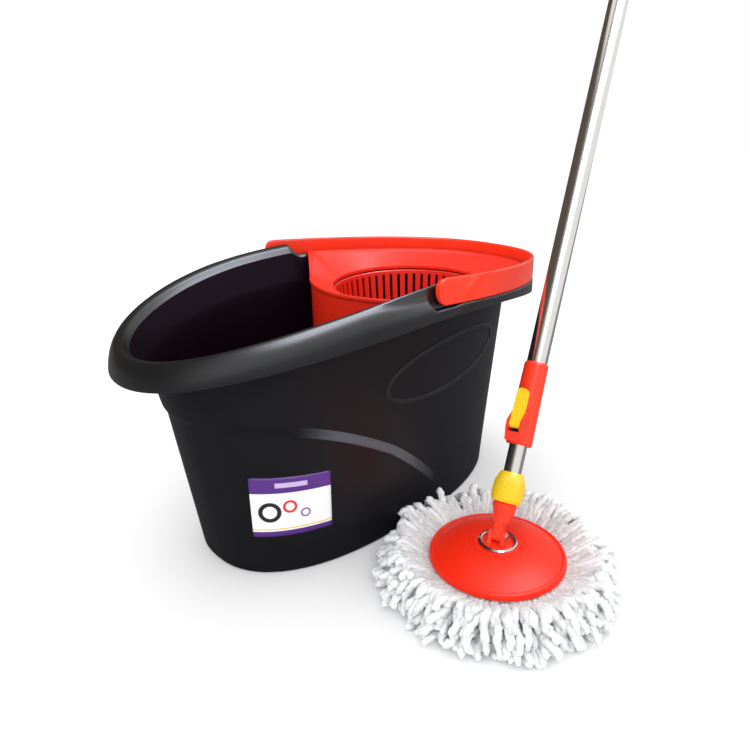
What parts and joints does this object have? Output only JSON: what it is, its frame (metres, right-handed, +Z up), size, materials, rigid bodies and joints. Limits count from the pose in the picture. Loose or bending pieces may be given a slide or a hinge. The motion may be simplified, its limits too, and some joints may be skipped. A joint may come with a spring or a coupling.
{
  "type": "spin mop",
  "caption": "Spin mop set: an oval bucket with a swinging bail and a slotted wringer basket, and a round yarn mop on a telescopic press handle that leans beside it.",
  "frame": {"origin": "centre of the bucket's flat base line: on the floor, on the bucket's middle plane, below the widest point of its rim", "axes": "+X towards the wringer end of the bucket, +Z up; the mop stands on the -Y side"},
  "size_m": [0.6728, 0.4835, 0.7522],
  "materials": {
    "black_plastic": "satin",
    "guard_plastic": "gloss",
    "red_plastic": "gloss",
    "yellow_plastic": "satin",
    "stainless": "polished",
    "chrome_ring": "polished",
    "white_yarn": "soft",
    "white_plastic": "satin",
    "zinc_steel": "satin",
    "rubber_pad": "matte",
    "grey_plastic": "satin"
  },
  "bodies": {
    "bucket": {"bucket_body": "black_plastic", "splash_guard": "guard_plastic", "spindle": "zinc_steel", "thrust_washer": "white_plastic"},
    "bail": {"bail_handle": "red_plastic"},
    "basket": {"spin_basket": "guard_plastic", "spindle_bush": "white_plastic", "hub_cap": "guard_plastic"},
    "mop_joint": {"yoke": "red_plastic", "hinge_pin": "red_plastic", "retaining_washer": "zinc_steel", "swivel_screw": "zinc_steel"},
    "mop_head": {"disc_plate": "red_plastic", "bearing_ring": "chrome_ring", "refill_ring": "white_plastic", "yarn": "white_yarn"},
    "lower_handle": {"tilt_socket": "red_plastic", "inner_tube": "stainless", "clutch_cup": "white_plastic", "guide_bush": "white_plastic"},
    "collar": {"collar_nut": "yellow_plastic"},
    "ratchet_nut": {"drive_nut": "white_plastic"},
    "upper_handle": {"outer_tube": "stainless", "lock_sleeve": "red_plastic", "lever_pin": "zinc_steel", "lock_pad": "rubber_pad", "drive_rod": "zinc_steel", "rod_plug": "white_plastic", "cross_pin": "zinc_steel", "grip": "grey_plastic", "hang_cap": "red_plastic"},
    "lever": {"lock_lever": "yellow_plastic"}
  },
  "joints": [
    {"name": "bail_swing", "type": "hinge", "parent": "bucket", "child": "bail", "pos_m": [0.041, 0, 0.271], "axis": [0, -1, 0], "range_deg": [0, 120]},
    {"name": "basket_spin", "type": "hinge", "parent": "bucket", "child": "basket", "pos_m": [0.129, 0, 0.124], "axis": [0, 0, 1], "continuous": true},
    {"name": "mop_draw_away", "type": "slide", "parent": "bucket", "child": "mop_joint", "axis": [0, -1, 0], "range_m": [0, 0.4]},
    {"name": "disc_spin", "type": "hinge", "parent": "mop_joint", "child": "mop_head", "pos_m": [0.0295, -0.22, 0.03], "axis": [0, 0, 1], "continuous": true},
    {"name": "head_tilt", "type": "hinge", "parent": "mop_joint", "child": "lower_handle", "pos_m": [0.0295, -0.22, 0.05], "axis": [-0.3156, 0.9489, 0], "range_deg": [-107, 43]},
    {"name": "collar_twist", "type": "hinge", "parent": "lower_handle", "child": "collar", "pos_m": [0.05464, -0.21164, 0.0924], "axis": [0.5028, 0.1673, 0.848], "range_deg": [0, 90]},
    {"name": "handle_slide", "type": "slide", "parent": "lower_handle", "child": "upper_handle", "axis": [0.5028, 0.1673, 0.848], "range_m": [0, 0.4]},
    {"name": "nut_spin", "type": "hinge", "parent": "lower_handle", "child": "ratchet_nut", "pos_m": [0.32617, -0.12131, 0.55035], "axis": [0.5028, 0.1673, 0.848], "range_deg": [-1441, 0]},
    {"name": "lever_swing", "type": "hinge", "parent": "upper_handle", "child": "lever", "pos_m": [0.06967, -0.2038, 0.14798], "axis": [0.1711, -0.9809, 0.092], "range_deg": [0, 85]}
  ],
  "couplings": [
    {"joint": "nut_spin", "follows": "handle_slide", "rad_per_m": -62.832}
  ]
}
